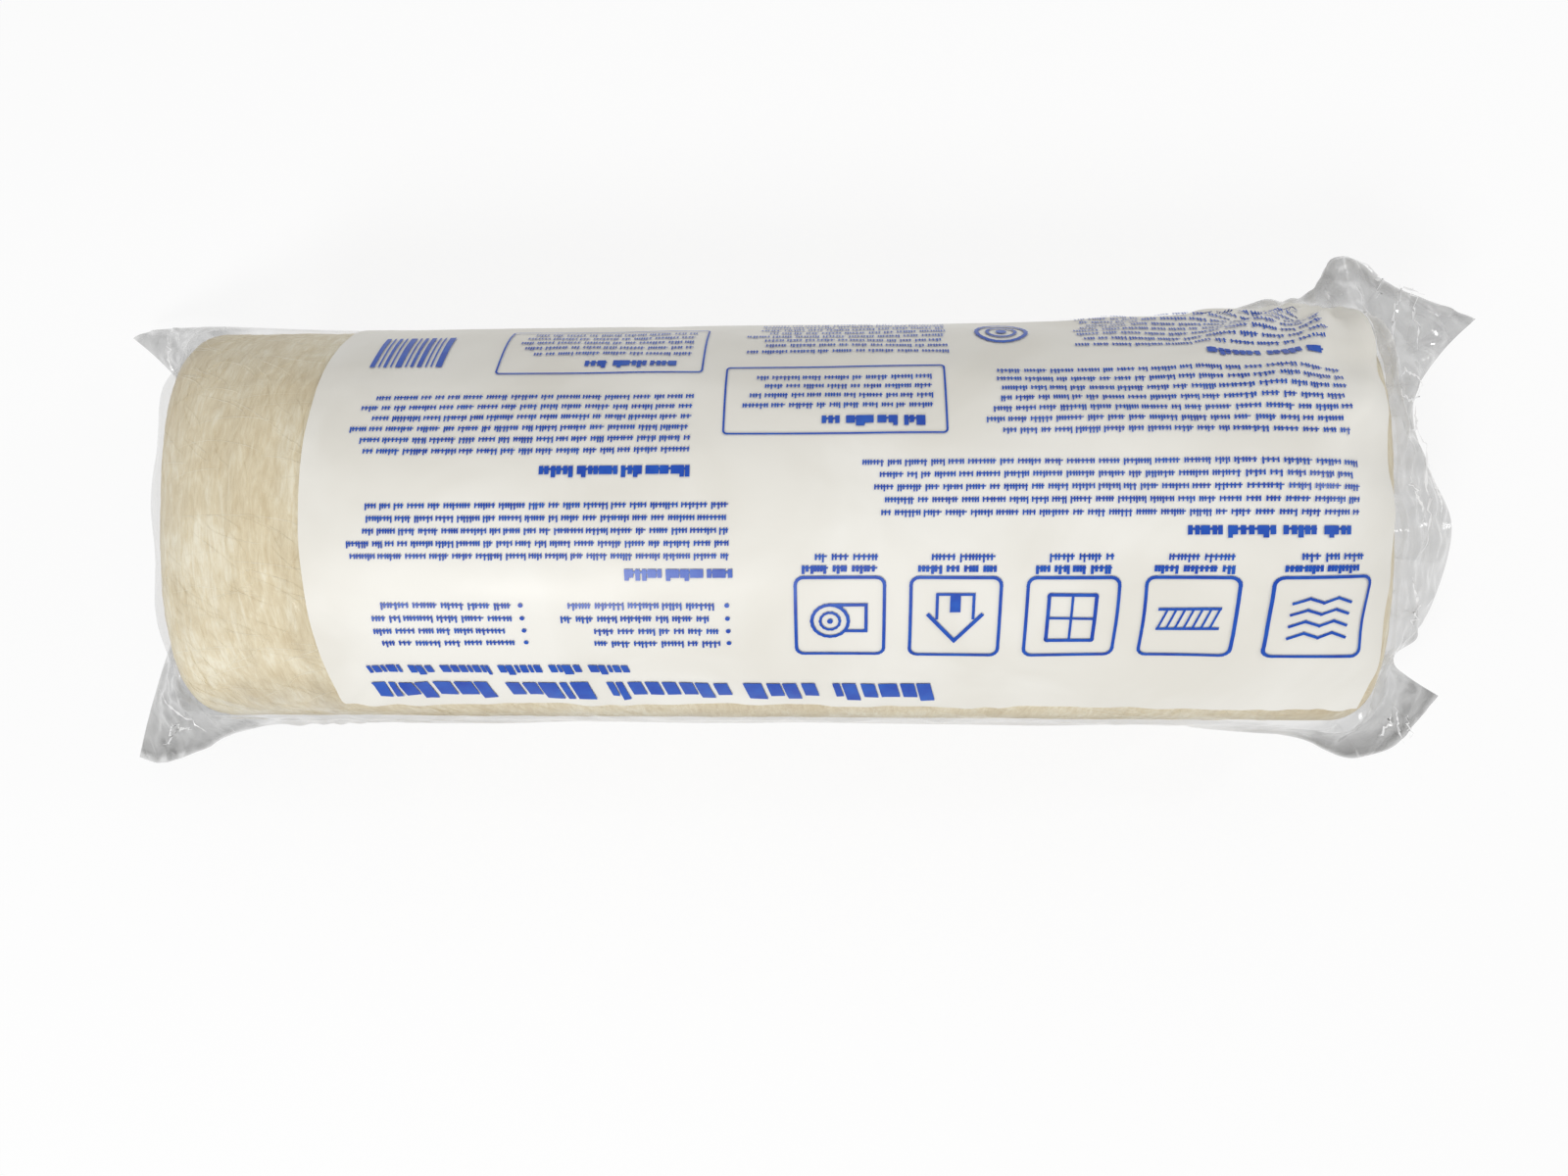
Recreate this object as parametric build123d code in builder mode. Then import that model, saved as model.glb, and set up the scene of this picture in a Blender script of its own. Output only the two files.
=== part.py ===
"""A short roll of unfaced glass wool blanket, packed in a clear film bag.

The blanket is rolled up tight and squeezed to about a quarter of its loose thickness.
The bag is a lay-flat tube of thin film. It has a crease along each side, and a heat
seal across each end that stands out as a loose flap with ears. The film draws the
ends of the soft roll in, so that they are rounded from top to bottom and squarer
when seen from above.

The frame: +X runs along the roll, +Z is up, and the origin lies on the floor under
the middle of the roll. All sizes are in millimetres.
"""

from build123d import *
import math
import os

os.makedirs("parts", exist_ok=True)

# The rolled blanket
roll_length = 406.0  # the blanket's width, 16 inches
roll_radius = 69.0
settle = 3.5  # how much the soft roll flattens on the floor
floor_strip = 40.0  # width of the flattened strip
lift_off = 10.0  # the floor cuts off this much of each flank arc, in degrees from its lowest point
packed_thickness = 12.5  # one squeezed layer of the blanket
eye_radius = 6.0  # where the innermost turn starts
eye_depth = 12.0
turn_gap_width = 1.6  # the open line between two turns
turn_gap_depth = 8.0
turn_gap_rim = 4.0  # the spiral ends this far from the rim of the end face
lap_step = 4.5  # height of the blanket's free end
lap_run = 30.0  # how far the roll takes to come up to full radius again
lap_angle = 236.0  # where the free end lies, from +Y towards +Z

# The drawn-in ends of the roll
shoulder_length = 60.0  # the top of the roll slopes down over this length
heel_length = 44.0  # the underside rises over this length
corner_radius = 10.0  # the end's corners seen from above
end_rise = 32.0  # top of the end face, above the roll's middle
end_drop = 42.0  # foot of the end face, below the roll's middle
shoulder_steps = 6  # flat bands that make up each rounded end
points_per_turn = 18  # corners of the line between two turns

# The film bag
film = 0.3
film_gap = 0.4  # between the wool and the film
crease_reach = 3.5  # the side creases stand this far off the wool
crease_weld = 2.0  # the two faces lie together this far at a crease
ear_reach = 7.0  # the creases spread this far off the wool at its ends
seal_slot = 0.3  # the last of the inside, where the two faces meet

# The flap at the plain end, low down
left_reach = 24.0  # from the end of the wool to the weld
left_height = 20.0
left_span = 172.0
left_ear = 36.0  # from the weld to the ears' tips
left_hollow = 18.0  # the free edge draws in this much between the ears

# The flap at the printed end, which stands higher and leans
right_reach = 18.0
right_height = 58.0
right_span = 172.0
right_ear = 27.0
right_pinch = 22.0  # the free edge draws in this much at each pinch
right_flare = 6.0  # the flap widens this much at each side
right_lift = 16.0  # the far side of the flap stands this much higher
right_wave = 7.0  # height of the waves along the free edge
right_waves = 2.5  # how many waves each half of the free edge has

# Where the tips and pinches lie along the free edge, as shares of half the span
near_tip, near_pinch, middle_tip, far_pinch, far_tip = -0.78, -0.56, -0.05, 0.46, 0.8

tip_radius = 4.0
flap_margin = 1.5  # each flap is this much wider at each side than the end that it closes
flap_points = 16  # points that the waved flap is drawn through
seal_taper = 0.7  # the weld thins out beyond this share of its half span

half_length = roll_length / 2
flat_half = floor_strip / 2
depth_share = math.cos(math.radians(lift_off))
width_share = 1 - math.sin(math.radians(lift_off))
film_offset = film_gap + film
middle_height = film_offset + roll_radius - settle
body_half = half_length - shoulder_length

# The turns as they show on the ends
face_half = roll_radius - corner_radius
end_squash = (end_rise + end_drop) / (2 * face_half)
end_middle = (end_rise - end_drop) / 2
visible_turns = (face_half - turn_gap_rim - eye_radius) / packed_thickness

# Where the rounded ends have their sections, and where the film closes
quarter_turn = math.pi / 2
shoulder_shares = [math.sin(quarter_turn * i / shoulder_steps) for i in range(shoulder_steps + 1)]
ends = (
    (-1, left_reach, left_height, left_span),
    (1, right_reach, right_height, right_span),
)
left_weld = half_length + left_reach
left_half = left_span / 2 + flap_margin
right_weld = half_length + right_reach
right_half = right_span / 2 + flap_margin


def eased(distance, length):
    """1 up to the start of a rounded stretch, then a quarter round down to 0."""
    share = min(max(distance / length, 0.0), 1.0)
    return math.sqrt(1 - share * share)


def end_shape(x):
    """Half width, rise of the top and drop of the foot of the wool, at x."""
    top = eased(abs(x) - body_half, shoulder_length)
    heel = eased(abs(x) - (half_length - heel_length), heel_length)
    corner = eased(abs(x) - (half_length - corner_radius), corner_radius)
    half_width = roll_radius - corner_radius * (1 - corner)
    rise = end_rise + (roll_radius - end_rise) * top
    drop = end_drop + (roll_radius - settle - end_drop) * heel
    return half_width, rise, drop


def station(x, height=middle_height):
    """The plane of a section at x, with its own X along +Y and its own Y along +Z."""
    return Plane(origin=(x, 0, height), x_dir=(0, 1, 0), z_dir=(1, 0, 0))


def flank_arc(half_width, drop):
    """Where a flank's arc has its middle, and its two radii. The floor cuts off the last of it."""
    flank = (half_width - flat_half) / width_share
    return half_width - flank, flank, drop / depth_share


def wool_section(x):
    """Half round above, two rounded flanks below, and the flattened strip."""
    half_width, rise, drop = end_shape(x)
    middle, flank, depth = flank_arc(half_width, drop)
    with BuildSketch(station(x)) as section:
        with BuildLine():
            EllipticalCenterArc((0, 0), half_width, rise, 0, arc_size=180)
            left = EllipticalCenterArc((-middle, 0), flank, depth, 180, arc_size=90 - lift_off)
            right = EllipticalCenterArc((middle, 0), flank, depth, 270 + lift_off, arc_size=90 - lift_off)
            Line(left @ 1, right @ 0)
        make_face()
    return section.sketch


def creased_section(plane, half_width, rise, drop, reach):
    """The same outline, drawn out to a pointed crease at each side."""
    middle, flank, depth = flank_arc(half_width, drop)
    high = math.degrees(math.acos(half_width / reach))
    low = math.degrees(math.acos(flank / (reach - middle)))
    swept = 90 - lift_off - low
    with BuildSketch(plane) as section:
        with BuildLine():
            top = EllipticalCenterArc((0, 0), half_width, rise, high, arc_size=180 - 2 * high)
            Line(top @ 1, (-reach, 0))
            left = EllipticalCenterArc((-middle, 0), flank, depth, 180 + low, arc_size=swept)
            Line((-reach, 0), left @ 0)
            right = EllipticalCenterArc((middle, 0), flank, depth, 270 + lift_off, arc_size=swept)
            Line(left @ 1, right @ 0)
            Line(right @ 1, (reach, 0))
            Line((reach, 0), top @ 0)
        make_face()
    return section.sketch


def film_section(side, share, offset, inset):
    """The film's section at a share of the shoulder, an offset away from the wool."""
    half_width, rise, drop = end_shape(body_half + shoulder_length * share)
    x = body_half + (shoulder_length + offset) * share
    reach = roll_radius + crease_reach + (ear_reach - crease_reach) * share - inset
    plane = station(side * x)
    return creased_section(plane, half_width + offset, rise + offset, drop + offset, reach)


def seal_section(x, height, span, thickness, inset):
    """The film's flat section at the weld."""
    reach = span / 2 - inset
    half_thick = thickness / 2
    return creased_section(station(x, height), seal_taper * reach, half_thick, half_thick, reach)


def film_body(offset, inset, thickness, mode):
    """The whole bag as a solid, from weld to weld."""
    extrude(film_section(-1, 0, offset, inset), amount=2 * body_half, mode=mode)
    for side, reach, height, span in ends:
        sections = [film_section(side, share, offset, inset) for share in shoulder_shares]
        loft(sections, ruled=True, mode=mode)
        weld = seal_section(side * (half_length + reach), height, span, thickness, inset)
        loft([sections[-1], weld], ruled=True, mode=mode)


def spiral_point(angle, offset):
    """A point of the line between two turns, on an end face, at an offset across it."""
    radius = eye_radius + packed_thickness * angle / (2 * math.pi) + offset
    return radius * math.cos(angle), end_middle + end_squash * radius * math.sin(angle)


def turn_gap():
    """The spiral line between the turns, as a narrow strip."""
    steps = round(points_per_turn * visible_turns)
    angles = [2 * math.pi * visible_turns * i / steps for i in range(steps + 1)]
    with BuildSketch() as strip:
        with BuildLine():
            outer = Polyline([spiral_point(angle, turn_gap_width / 2) for angle in angles])
            inner = Polyline([spiral_point(angle, -turn_gap_width / 2) for angle in angles])
            Line(outer @ 0, inner @ 0)
            Line(outer @ 1, inner @ 1)
        make_face()
    return strip.sketch


def flank_point(angle, outwards):
    """A point of the near flank's outline, at a distance outwards from it."""
    middle, flank, depth = flank_arc(roll_radius, roll_radius - settle)
    turn = math.radians(angle)
    outward = Vector(math.cos(turn) / flank, math.sin(turn) / depth).normalized()
    return Vector(flank * math.cos(turn) - middle, depth * math.sin(turn)) + outward * outwards


def flap_strip(x, height, half, lift, wave):
    """The flap's section at x: a thin strip, lifted at its far side and waved."""
    along = [half * (2 * i / flap_points - 1) for i in range(flap_points + 1)]
    middle = [lift * y / half + wave * math.sin(math.pi * right_waves * y / half) for y in along]
    with BuildSketch(station(x, height)) as strip:
        with BuildLine():
            upper = Spline([(y, z + film) for y, z in zip(along, middle)])
            lower = Spline([(y, z - film) for y, z in zip(along, middle)])
            Line(upper @ 0, lower @ 0)
            Line(upper @ 1, lower @ 1)
        make_face()
    return strip.sketch


# The roll of glass wool
with BuildPart() as wool:
    extrude(wool_section(-body_half), amount=2 * body_half)
    for side in (-1, 1):
        stations = [side * (body_half + shoulder_length * share) for share in shoulder_shares]
        loft([wool_section(x) for x in stations], ruled=True)
    with BuildSketch(station(0)) as lap_cut:
        lap_start = lap_angle - math.degrees(lap_run / roll_radius)
        lap_middle = (lap_start + lap_angle) / 2
        with BuildLine():
            floor_arc = ThreePointArc(
                flank_point(lap_start, 0),
                flank_point(lap_middle, -lap_step / 2),
                flank_point(lap_angle, -lap_step),
            )
            Polyline(
                floor_arc @ 1,
                flank_point(lap_angle, lap_step),
                flank_point(lap_middle, lap_step),
                flank_point(lap_start, lap_step),
                floor_arc @ 0,
            )
        make_face()
    extrude(amount=half_length, both=True, mode=Mode.SUBTRACT)
    for side in (-1, 1):
        face = station(side * half_length)
        extrude(face * turn_gap(), amount=-side * turn_gap_depth, mode=Mode.SUBTRACT)
        with BuildSketch(face):
            with Locations((0, end_middle)):
                Circle(end_squash * eye_radius)
        extrude(amount=-side * eye_depth, mode=Mode.SUBTRACT)

wool.part.label = "glass_wool_roll"
print(wool.part.volume, wool.part.is_valid, len(wool.part.solids()))
export_step(wool.part, "parts/glass_wool_roll.step")

# The flap at the plain end: two ears with the free edge drawn in between them
with BuildPart() as left_flap:
    with BuildSketch(Plane.XY.offset(left_height - film)) as left_plan:
        with BuildLine():
            near, far = (-left_weld - left_ear, -left_half), (-left_weld - left_ear, left_half)
            hollow = (-left_weld - left_ear + left_hollow, 0)
            ThreePointArc(near, hollow, far)
            Polyline(far, (-left_weld, left_half), (-left_weld, -left_half), near)
        make_face()
        fillet(left_plan.vertices().group_by(Axis.X)[0], tip_radius)
    extrude(amount=2 * film)

# The flap at the printed end: a zigzag free edge, pinched between its tips
with BuildPart() as right_flap:
    tip = right_weld + right_ear
    with BuildSketch(Plane.XY) as right_plan:
        with BuildLine():
            Polyline(
                (right_weld, -right_half - right_flare),
                (tip, near_tip * right_half),
                (tip - right_pinch, near_pinch * right_half),
                (tip, middle_tip * right_half),
                (tip - right_pinch, far_pinch * right_half),
                (tip, far_tip * right_half),
                (right_weld, right_half + right_flare),
                close=True,
            )
        make_face()
        fillet(right_plan.vertices().filter_by_position(Axis.X, right_weld + film, tip), tip_radius)
    extrude(amount=2 * roll_radius)
    loft(
        [
            flap_strip(right_weld, right_height, right_half, 0, 0),
            flap_strip(tip, right_height, right_half + right_flare, right_lift, right_wave),
        ],
        ruled=True,
        mode=Mode.INTERSECT,
    )

# The film bag
with BuildPart() as bag:
    film_body(film_offset, 0, 2 * film + seal_slot, Mode.ADD)
    film_body(film_gap, crease_weld, seal_slot, Mode.SUBTRACT)
    add(left_flap.part)
    add(right_flap.part)

bag.part.label = "film_bag"
print(bag.part.volume, bag.part.is_valid, len(bag.part.solids()))
export_step(bag.part, "parts/film_bag.step")
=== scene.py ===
# %% [markdown]
# # A roll of glass wool in a clear bag
#
# A short blanket of glass wool is rolled up, squeezed and slid into a tube of thin clear film.
# The tube is welded shut across both ends. A white panel with blue print lies over its top.
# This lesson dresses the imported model: the wool, its fibres, the film, the print and the studio.

# %% Load the frame
import math
import random

import bmesh
import bpy
import numpy as np
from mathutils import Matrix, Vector, kdtree, noise


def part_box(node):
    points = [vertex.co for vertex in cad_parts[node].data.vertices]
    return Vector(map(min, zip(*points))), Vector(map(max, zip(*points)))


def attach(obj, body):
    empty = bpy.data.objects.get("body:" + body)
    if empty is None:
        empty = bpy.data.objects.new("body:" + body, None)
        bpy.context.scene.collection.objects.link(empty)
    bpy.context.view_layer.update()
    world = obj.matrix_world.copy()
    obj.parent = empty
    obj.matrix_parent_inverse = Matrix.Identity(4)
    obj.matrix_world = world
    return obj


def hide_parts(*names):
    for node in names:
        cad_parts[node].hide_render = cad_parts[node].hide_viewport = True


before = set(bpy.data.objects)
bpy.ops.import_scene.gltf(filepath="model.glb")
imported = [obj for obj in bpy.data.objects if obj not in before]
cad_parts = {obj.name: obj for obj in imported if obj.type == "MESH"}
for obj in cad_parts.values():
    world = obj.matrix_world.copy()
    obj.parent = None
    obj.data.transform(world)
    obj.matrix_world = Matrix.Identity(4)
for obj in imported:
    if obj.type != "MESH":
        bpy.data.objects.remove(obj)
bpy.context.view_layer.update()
wool_low, wool_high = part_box("glass_wool_roll")
MM = 0.001

# %% [markdown]
# ## The camera
#
# The camera looks straight down on the roll from about half a metre, leaning a little to one side.
# A wide lens that close shows more of the near parts than of the far ones, which is what gives the
# bag its swollen look from above.

# %% Place the camera
PICTURE_WIDTH = 1600
FOCAL_PIXELS = 1202
SENSOR = 36.0
camera_data = bpy.data.cameras.new("camera")
camera_data.sensor_width = SENSOR
camera_data.lens = SENSOR * FOCAL_PIXELS / PICTURE_WIDTH
camera_data.clip_start = 0.01
camera = bpy.data.objects.new("camera", camera_data)
camera.location = (26.7 * MM, -22.7 * MM, 489.5 * MM)
camera.rotation_euler = (0, math.radians(2.9), 0)
bpy.context.scene.collection.objects.link(camera)
bpy.context.scene.camera = camera
print("lens", round(camera_data.lens, 2), "mm")

# %% [markdown]
# ## Sums in shaders
#
# A material's look often comes from small sums on noise patterns. Node by node such sums are hard
# to read, so a thin class wraps a socket and lets Python's own operators add the Math nodes.

# %% A value in a shader, and a material
class Value:
    """A number that leaves a shader node. Sums on it add Math nodes."""

    def __init__(self, material, socket):
        self.material = material
        self.socket = socket

    def _sum(self, operation, first, second):
        node = self.material.node("ShaderNodeMath", {"operation": operation}, {0: first, 1: second})
        return Value(self.material, node.outputs[0])

    def __add__(self, other):
        return self._sum("ADD", self, other)

    def __radd__(self, other):
        return self._sum("ADD", other, self)

    def __sub__(self, other):
        return self._sum("SUBTRACT", self, other)

    def __mul__(self, other):
        return self._sum("MULTIPLY", self, other)

    def __pow__(self, other):
        return self._sum("POWER", self, other)

    def above(self, edge):
        return self._sum("GREATER_THAN", self, edge)


class Material:
    """A node material, with one call that adds any node."""

    def __init__(self, name):
        self.data = bpy.data.materials.new(name)
        self.data.use_nodes = True
        self.tree = self.data.node_tree
        self.tree.nodes.clear()

    def node(self, kind, settings=None, inputs=None):
        made = self.tree.nodes.new(kind)
        for key, value in (settings or {}).items():
            if key == "stops":
                for _ in value[2:]:
                    made.color_ramp.elements.new(0.5)
                for stop, (place, colour) in zip(made.color_ramp.elements, value):
                    stop.position = place
                    stop.color = colour if len(colour) == 4 else (*colour, 1)
            else:
                setattr(made, key, value)
        for key, value in (inputs or {}).items():
            if isinstance(value, Value):
                self.tree.links.new(value.socket, made.inputs[key])
            elif isinstance(value, bpy.types.NodeSocket):
                self.tree.links.new(value, made.inputs[key])
            else:
                made.inputs[key].default_value = value
        return made

    def value(self, kind, settings=None, inputs=None, out=0):
        return Value(self, self.node(kind, settings, inputs).outputs[out])

    def stretched(self, vector, scale, turn=(0, 0, 0)):
        inputs = {"Vector": vector, "Scale": scale, "Rotation": turn}
        return self.node("ShaderNodeMapping", {}, inputs).outputs[0]

    def grain(self, place, stretch, detail=3.0, roughness=0.5, distortion=0.0, turn=(0, 0, 0)):
        """Noise on a place, stretched and turned."""
        inputs = {"Vector": self.stretched(place, stretch, turn), "Scale": 1.0, "Detail": detail,
                  "Roughness": roughness, "Distortion": distortion}
        return self.value("ShaderNodeTexNoise", {"noise_dimensions": "3D"}, inputs, "Fac")

    def mark(self, name):
        """A number that each point of the mesh remembers."""
        return self.value("ShaderNodeAttribute", {"attribute_name": name}, {}, "Fac")

    def ramp(self, stops, value):
        """Colours along a value."""
        return self.node("ShaderNodeValToRGB", {"stops": stops}, {"Fac": value}).outputs[0]

    def blend(self, share, first, second):
        """A mix of two colours."""
        return self.node("ShaderNodeMix", {"data_type": "RGBA"}, {0: share, 6: first, 7: second}).outputs[2]

    def bumps(self, strength, distance, height):
        inputs = {"Strength": strength, "Distance": distance, "Height": height}
        return self.node("ShaderNodeBump", {}, inputs).outputs[0]

    def clamped(self, operation, first, second):
        """A sum that stays between 0 and 1."""
        settings = {"operation": operation, "use_clamp": True}
        return self.value("ShaderNodeMath", settings, {0: first, 1: second})

    def object_place(self):
        return self.node("ShaderNodeTexCoord").outputs["Object"]

    def surface(self, inputs):
        """Ends the material in a Principled shader."""
        return self.show(self.node("ShaderNodeBsdfPrincipled", {}, inputs).outputs[0])

    def show(self, shader):
        self.node("ShaderNodeOutputMaterial", {}, {"Surface": shader})
        return self.data

# %% [markdown]
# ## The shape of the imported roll
#
# The bag squeezes the ends of the soft roll. Seen from above its corners stay fairly square,
# because the film runs straight on there. From top to bottom the ends are well rounded, because
# the film is pulled down to the weld. Every ring of the wool and of the film uses one outline,
# so that the film always lies just outside the wool.

# %% One outline for the wool and the film
roll_radius = (wool_high.y - wool_low.y) / 2
half_length = wool_high.x
middle_height = wool_high.z - roll_radius
foot_drop = middle_height - wool_low.z
flat_half = 20 * MM
lift_off = math.radians(10)
shoulder_length, heel_length, corner_radius = 60 * MM, 44 * MM, 10 * MM
end_rise, end_drop = 32 * MM, 42 * MM
body_half = half_length - shoulder_length
crease_reach, ear_reach = 2.2 * MM, 7 * MM


def eased(distance, length):
    """1 up to the start of a rounded stretch, then a quarter round down to 0."""
    share = min(max(distance / length, 0.0), 1.0)
    return math.sqrt(1 - share * share)


def end_shape(x):
    """Half width, rise of the top and drop of the foot of the wool, at x."""
    top = eased(abs(x) - body_half, shoulder_length)
    heel = eased(abs(x) - (half_length - heel_length), heel_length)
    corner = eased(abs(x) - (half_length - corner_radius), corner_radius)
    half_width = roll_radius - corner_radius * (1 - corner)
    rise = end_rise + (roll_radius - end_rise) * top
    drop = end_drop + (foot_drop - end_drop) * heel
    return half_width, rise, drop


def along(points, shares):
    """Points at even shares of the length of a line."""
    points = np.array(points)
    steps = np.linalg.norm(np.diff(points, axis=0), axis=1)
    length = np.concatenate([[0], np.cumsum(steps)])
    axes = range(points.shape[1])
    return np.stack([np.interp(shares, length / length[-1], points[:, axis]) for axis in axes], 1)


def outline(half_width, rise, drop, reach, shares):
    """Half of a section: share 0 is its top, 1 the crease at its side, and 2 its foot."""
    flank = (half_width - flat_half) / (1 - math.sin(lift_off))
    middle, depth = half_width - flank, drop / math.cos(lift_off)
    high = math.acos(min(half_width / reach, 1))
    low = math.acos(min(flank / (reach - middle), 1))
    turns = np.linspace(math.pi / 2, high, 60)
    full = 1 - 0.3 * (1 - (rise - end_rise) / (roll_radius - end_rise))
    top = [(half_width * math.cos(turn) ** full, rise * math.sin(turn) ** full) for turn in turns]
    top = top + [(reach, 0)]
    turns = np.linspace(-low, lift_off - math.pi / 2, 60)
    foot = [(middle + flank * math.cos(turn), depth * math.sin(turn)) for turn in turns]
    foot = [(reach, 0)] + foot + [(0, -drop)]
    above = along(top, np.clip(shares, 0, 1))
    below = along(foot, np.clip(shares - 1, 0, 1))
    return np.where((shares <= 1)[:, None], above, below)


print("roll radius", roll_radius, "half length", half_length, "middle height", middle_height)

# %% [markdown]
# ## Reading a place on a wrapped grid
#
# Fibres lie on the wool and print lies on the film. Both are made flat first and then laid on
# the wrapped grid below them. The helper finds the place between four neighbouring points of the
# grid and lifts it a little along the grid's own outward direction.

# %% A grid that other things can lie on
def unit(vectors, least=1e-12):
    """The same directions, all of length 1."""
    return vectors / np.maximum(np.linalg.norm(vectors, axis=-1, keepdims=True), least)


class Surface:
    """A wrapped grid of points, by row and column."""

    def __init__(self, grid):
        self.grid = grid
        self.outward = unit(np.cross(np.gradient(grid, axis=0), np.gradient(grid, axis=1)))

    def at(self, rows, columns, lift=0.0):
        """Points at fractional rows and columns, lifted off the grid."""
        rows = np.clip(rows, 0, self.grid.shape[0] - 1.001)
        columns = np.clip(columns, 0, self.grid.shape[1] - 1.001)
        row, column = rows.astype(int), columns.astype(int)
        down, along_row = (rows - row)[:, None], (columns - column)[:, None]
        mixed = []
        for source in (self.grid, self.outward):
            first = source[row, column] * (1 - along_row) + source[row, column + 1] * along_row
            second = source[row + 1, column] * (1 - along_row) + source[row + 1, column + 1] * along_row
            mixed.append(first * (1 - down) + second * down)
        return mixed[0] + mixed[1] * lift


def add_piece(name, bm, materials):
    """Makes an object from a bmesh, smooth shaded, in the scene."""
    mesh = bpy.data.meshes.new(name)
    bm.to_mesh(mesh)
    bm.free()
    for material in materials:
        mesh.materials.append(material)
    mesh.shade_smooth()
    piece = bpy.data.objects.new(name, mesh)
    bpy.context.scene.collection.objects.link(piece)
    return piece


def paint(red, green, blue):
    """A colour as a screen shows it, from 0 to 255, for a shader."""
    return tuple((channel / 255 / 12.92) if channel < 11 else ((channel / 255 + 0.055) / 1.055) ** 2.4
                 for channel in (red, green, blue)) + (1.0,)

# %% [markdown]
# ## The wool
#
# Glass wool is a mat of fine fibres. Rolled up and squeezed, its turns show on the two ends as a
# spiral of soft lips with dark gaps between them. One grid, wrapped into a closed shell with a
# pole at the middle of each end, holds it all: its rows run over the body, round the shoulder
# and in across the end, and the spiral is pressed into the rows of the end.

# %% Lay out the rows of the wool
packed_thickness, turn_phase = 12.5 * MM, 0.35
eye_radius, eye_depth = 6 * MM, 12 * MM
face_half = roll_radius - corner_radius
face_squash, face_middle = (end_rise + end_drop) / (2 * face_half), (end_rise - end_drop) / 2
lap_angle, lap_step, lap_run = math.radians(236), 4.5 * MM, 30 * MM
gap_width, gap_depth = 1.3 * MM, 7 * MM
lip_rise, lip_width, lip_drop = 1.6 * MM, 3.5 * MM, 1.2 * MM
tuft_rise, tuft_drop, lap_rise = 0.45 * MM, 0.3 * MM, 3 * MM
wool_columns = 232
face_rows, shoulder_rows, wool_body_rows = 44, 22, 110


def smooth_noise(point, scale, octaves=3):
    """Soft random hills from about -1 to 1, with a size of about one over scale."""
    return noise.fractal(Vector(point) * scale, 0.9, 2.1, octaves)


def turn_gap(y, z):
    """How deep the dark gap between two turns is at a point of the end, from 0 to 1."""
    radius = math.hypot(y, z / face_squash)
    wander = 0.07 * smooth_noise((y, z, 3.1), 70)
    phase = radius / packed_thickness - math.atan2(z, y) / (2 * math.pi) + turn_phase + wander
    away = abs(phase - round(phase)) * packed_thickness
    gap = math.exp(-(away / gap_width) ** 2)
    eye = math.exp(-(radius / eye_radius) ** 4)
    return gap * min(radius / eye_radius, 1), eye, away


def wool_ring(half_width, rise, drop, scale):
    """A closed ring of the wool's outline, shrunk towards the middle of the end."""
    around = np.linspace(0, 1, wool_columns, endpoint=False) * 4
    shares = np.where(around <= 2, around, 4 - around)
    ring = outline(half_width, rise, drop, half_width + 0.01 * MM, shares)
    ring[:, 0] *= np.where(around <= 2, 1, -1)
    middle = (rise - drop) / 2
    ring[:, 1] = (ring[:, 1] - middle) * scale + middle
    ring[:, 0] *= scale
    return ring


def wool_rows():
    """The x, the size and the shrink of each row, from the left pole to the right one."""
    face = [(half_length, share) for share in np.linspace(0, 1, face_rows, endpoint=False)]
    turns = np.linspace(math.pi / 2, 0, shoulder_rows, endpoint=False)
    shoulder = [(body_half + shoulder_length * math.sin(turn), 1) for turn in turns]
    body = [(x, 1) for x in np.linspace(body_half, 0, wool_body_rows // 2, endpoint=False)]
    side = face + shoulder + body
    return [(-x, scale) for x, scale in side] + [(0.0, 1)] + [(x, scale) for x, scale in reversed(side)]


wool_side = wool_rows()
wool_grid = np.zeros((len(wool_side), wool_columns + 1, 3))
for row, (x, scale) in enumerate(wool_side):
    ring = wool_ring(*end_shape(x), scale)
    wool_grid[row, :-1] = np.column_stack([np.full(wool_columns, x), ring[:, 0], ring[:, 1] + middle_height])
wool_grid[:, -1] = wool_grid[:, 0]
smooth_wool = Surface(wool_grid)
print("wool grid", wool_grid.shape)

# %% [markdown]
# The smooth shell now gets its life: the gaps between the turns, the eye, the low step of the
# blanket's free end, and tufts of all sizes. A number on each point remembers how deep it lies,
# so that the material can paint shade down in a gap and in the eye.

# %% Press the turns in and raise the tufts
painted_gap_shade = np.zeros(wool_grid.shape[:2])
shaped_wool = wool_grid.copy()
for row, (x, scale) in enumerate(wool_side):
    for column in range(wool_columns):
        point, outward = wool_grid[row, column], smooth_wool.outward[row, column]
        y, z = point[1], point[2] - middle_height
        tuft = (0.5 * smooth_noise(point, 45) + 0.3 * smooth_noise(point, 170)
                + 0.25 * smooth_noise(point, 420))
        move = tuft_rise * tuft - tuft_drop
        if scale < 1:
            gap, eye, away = turn_gap(y, z - face_middle)
            fade = min((1 - scale) * 10, 1)
            lip = lip_rise * math.sqrt(min(away / lip_width, 1))
            move += fade * (lip - gap_depth * gap - eye_depth * eye - lip_drop) + 0.5 * MM * tuft
            # How deep the point lies in a gap or the eye, kept for the painted shade there.
            painted_gap_shade[row, column] = fade * max(gap, eye)
            outward = np.array([math.copysign(1, x), 0, 0])
        else:
            turn = math.atan2(z, y) % (2 * math.pi)
            past = (turn - lap_angle) * roll_radius
            if -lap_rise < past < lap_run:
                rising = min(max((past + lap_rise) / lap_rise, 0), 1)
                falling = 1 - max(past, 0) / lap_run
                move -= lap_step * 0.35 * rising * falling
        shaped_wool[row, column] = point + outward * move
shaped_wool[:, :, 2] = np.maximum(shaped_wool[:, :, 2], wool_low.z)
shaped_wool[:, -1] = shaped_wool[:, 0]
painted_gap_shade[:, -1] = painted_gap_shade[:, 0]
wool_surface = Surface(shaped_wool)
print("wool shaped", shaped_wool.reshape(-1, 3).min(0), shaped_wool.reshape(-1, 3).max(0))

# %% [markdown]
# The shaped grid becomes one mesh. The seam along the side and the poles of the ends are merged.

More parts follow.
